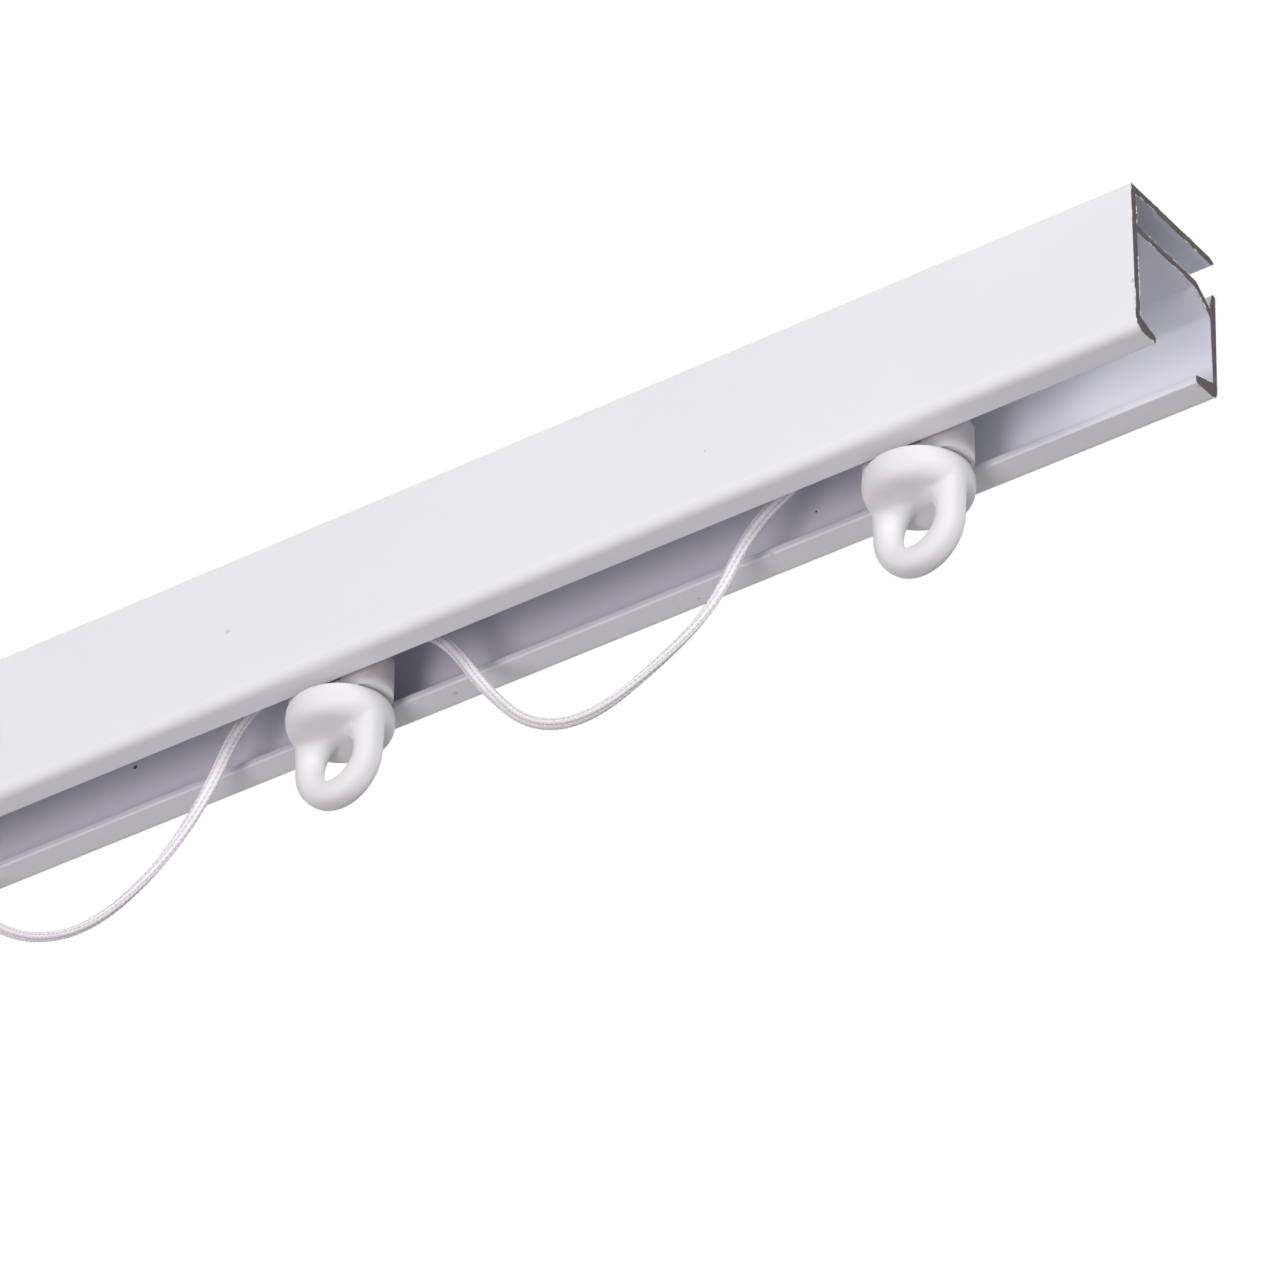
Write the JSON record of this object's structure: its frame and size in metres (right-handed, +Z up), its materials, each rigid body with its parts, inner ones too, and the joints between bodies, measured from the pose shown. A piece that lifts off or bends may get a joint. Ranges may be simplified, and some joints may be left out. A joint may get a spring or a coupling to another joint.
{
  "type": "curtain track",
  "caption": "Cut length of slotted white curtain rail with cord-linked roller gliders, each with a swivelling hook eye below the slot.",
  "frame": {"origin": "middle of the rail's top face, where it meets a ceiling or bracket", "axes": "+X along the rail to the right-hand cut end, +Y to the back (the groove side), +Z up"},
  "size_m": [0.3, 0.0176, 0.0386],
  "materials": {
    "rail_coating": "white powder coat, bare at the cut ends",
    "carrier_plastic": "satin ivory-white moulding",
    "eye_plastic": "satin white moulding",
    "roller_plastic": "satin white moulding",
    "axle_steel": "drawn steel pin",
    "cord_braid": "fine white polyester braid"
  },
  "bodies": {
    "rail": {"rail": "rail_coating"},
    "glider_1": {"carrier_1": "carrier_plastic", "axle_1": "axle_steel", "cord_in_carrier_1": "cord_braid", "cord_span_1": "cord_braid"},
    "hanging_eye_1": {"eye_1": "eye_plastic"},
    "front_roller_1_body": {"front_roller_1": "roller_plastic"},
    "back_roller_1_body": {"back_roller_1": "roller_plastic"},
    "glider_2": {"carrier_2": "carrier_plastic", "axle_2": "axle_steel", "cord_in_carrier_2": "cord_braid", "cord_span_2": "cord_braid"},
    "hanging_eye_2": {"eye_2": "eye_plastic"},
    "front_roller_2_body": {"front_roller_2": "roller_plastic"},
    "back_roller_2_body": {"back_roller_2": "roller_plastic"},
    "glider_3": {"carrier_3": "carrier_plastic", "axle_3": "axle_steel", "cord_in_carrier_3": "cord_braid"},
    "hanging_eye_3": {"eye_3": "eye_plastic"},
    "front_roller_3_body": {"front_roller_3": "roller_plastic"},
    "back_roller_3_body": {"back_roller_3": "roller_plastic"}
  },
  "joints": [
    {"name": "glider_1_slide", "type": "slide", "parent": "rail", "child": "glider_1", "axis": [1, 0, 0], "range_m": [-0.058, 0.026]},
    {"name": "eye_1_swivel", "type": "hinge", "parent": "glider_1", "child": "hanging_eye_1", "pos_m": [0.1155, -0.00017, -0.0211], "axis": [0, 0, 1], "continuous": true},
    {"name": "front_roller_1_spin", "type": "hinge", "parent": "glider_1", "child": "front_roller_1_body", "pos_m": [0.1155, -0.00017, -0.01597], "axis": [0, 1, 0], "continuous": true},
    {"name": "back_roller_1_spin", "type": "hinge", "parent": "glider_1", "child": "back_roller_1_body", "pos_m": [0.1155, -0.00017, -0.01597], "axis": [0, 1, 0], "continuous": true},
    {"name": "glider_2_slide", "type": "slide", "parent": "glider_1", "child": "glider_2", "axis": [1, 0, 0], "range_m": [-0.017, 0.06], "deforming": ["cord_span_1"]},
    {"name": "eye_2_swivel", "type": "hinge", "parent": "glider_2", "child": "hanging_eye_2", "pos_m": [0.0334, -0.00017, -0.0211], "axis": [0, 0, 1], "continuous": true},
    {"name": "front_roller_2_spin", "type": "hinge", "parent": "glider_2", "child": "front_roller_2_body", "pos_m": [0.0334, -0.00017, -0.01597], "axis": [0, 1, 0], "continuous": true},
    {"name": "back_roller_2_spin", "type": "hinge", "parent": "glider_2", "child": "back_roller_2_body", "pos_m": [0.0334, -0.00017, -0.01597], "axis": [0, 1, 0], "continuous": true},
    {"name": "glider_3_slide", "type": "slide", "parent": "glider_2", "child": "glider_3", "axis": [1, 0, 0], "range_m": [-0.017, 0.06], "deforming": ["cord_span_2"]},
    {"name": "eye_3_swivel", "type": "hinge", "parent": "glider_3", "child": "hanging_eye_3", "pos_m": [-0.0487, -0.00017, -0.0211], "axis": [0, 0, 1], "continuous": true},
    {"name": "front_roller_3_spin", "type": "hinge", "parent": "glider_3", "child": "front_roller_3_body", "pos_m": [-0.0487, -0.00017, -0.01597], "axis": [0, 1, 0], "continuous": true},
    {"name": "back_roller_3_spin", "type": "hinge", "parent": "glider_3", "child": "back_roller_3_body", "pos_m": [-0.0487, -0.00017, -0.01597], "axis": [0, 1, 0], "continuous": true}
  ]
}
